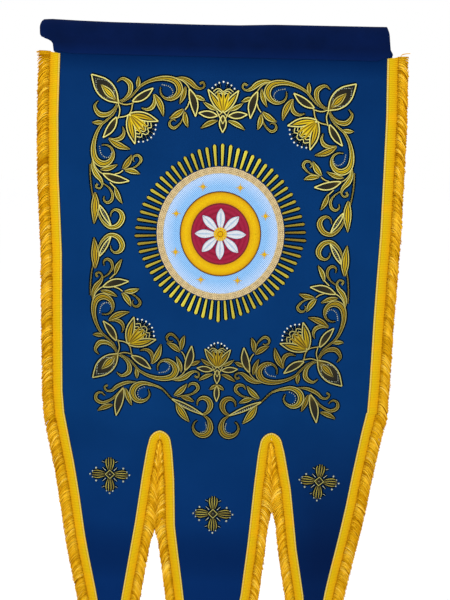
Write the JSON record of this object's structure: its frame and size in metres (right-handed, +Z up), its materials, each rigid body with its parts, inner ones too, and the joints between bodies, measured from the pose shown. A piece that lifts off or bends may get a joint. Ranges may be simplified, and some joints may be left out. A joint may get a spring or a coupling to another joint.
{
  "type": "church banner",
  "caption": "Hanging church banner: cloth with three pointed tails, rod sleeve along the top, fringe round every edge and a round medallion with a corded rim.",
  "frame": {"origin": "middle of the rod sleeve's top edge, where the banner is held", "axes": "+Z up along the banner's length, +X to the right as one faces the front, the front looks along -Y"},
  "size_m": [0.7116, 0.0278, 1.6094],
  "materials": {
    "blue_cloth": "fine woven cloth with a soft sheen",
    "dark_cloth": "dark napped cloth",
    "gold_fringe": "bright twisted thread",
    "gold_cord": "braided metallic cord",
    "medallion": "dense satin stitch"
  },
  "bodies": {
    "root": {"heading_sleeve": "dark_cloth", "banner_cloth": "blue_cloth", "fringe_left_edge": "gold_fringe", "fringe_left_tail_outer": "gold_fringe", "fringe_left_tail_inner": "gold_fringe", "fringe_middle_left": "gold_fringe", "fringe_middle_right": "gold_fringe", "fringe_right_tail_inner": "gold_fringe", "fringe_right_tail_outer": "gold_fringe", "fringe_right_edge": "gold_fringe", "medallion_ring": "gold_cord", "medallion_disc": "medallion"}
  },
  "joints": []
}
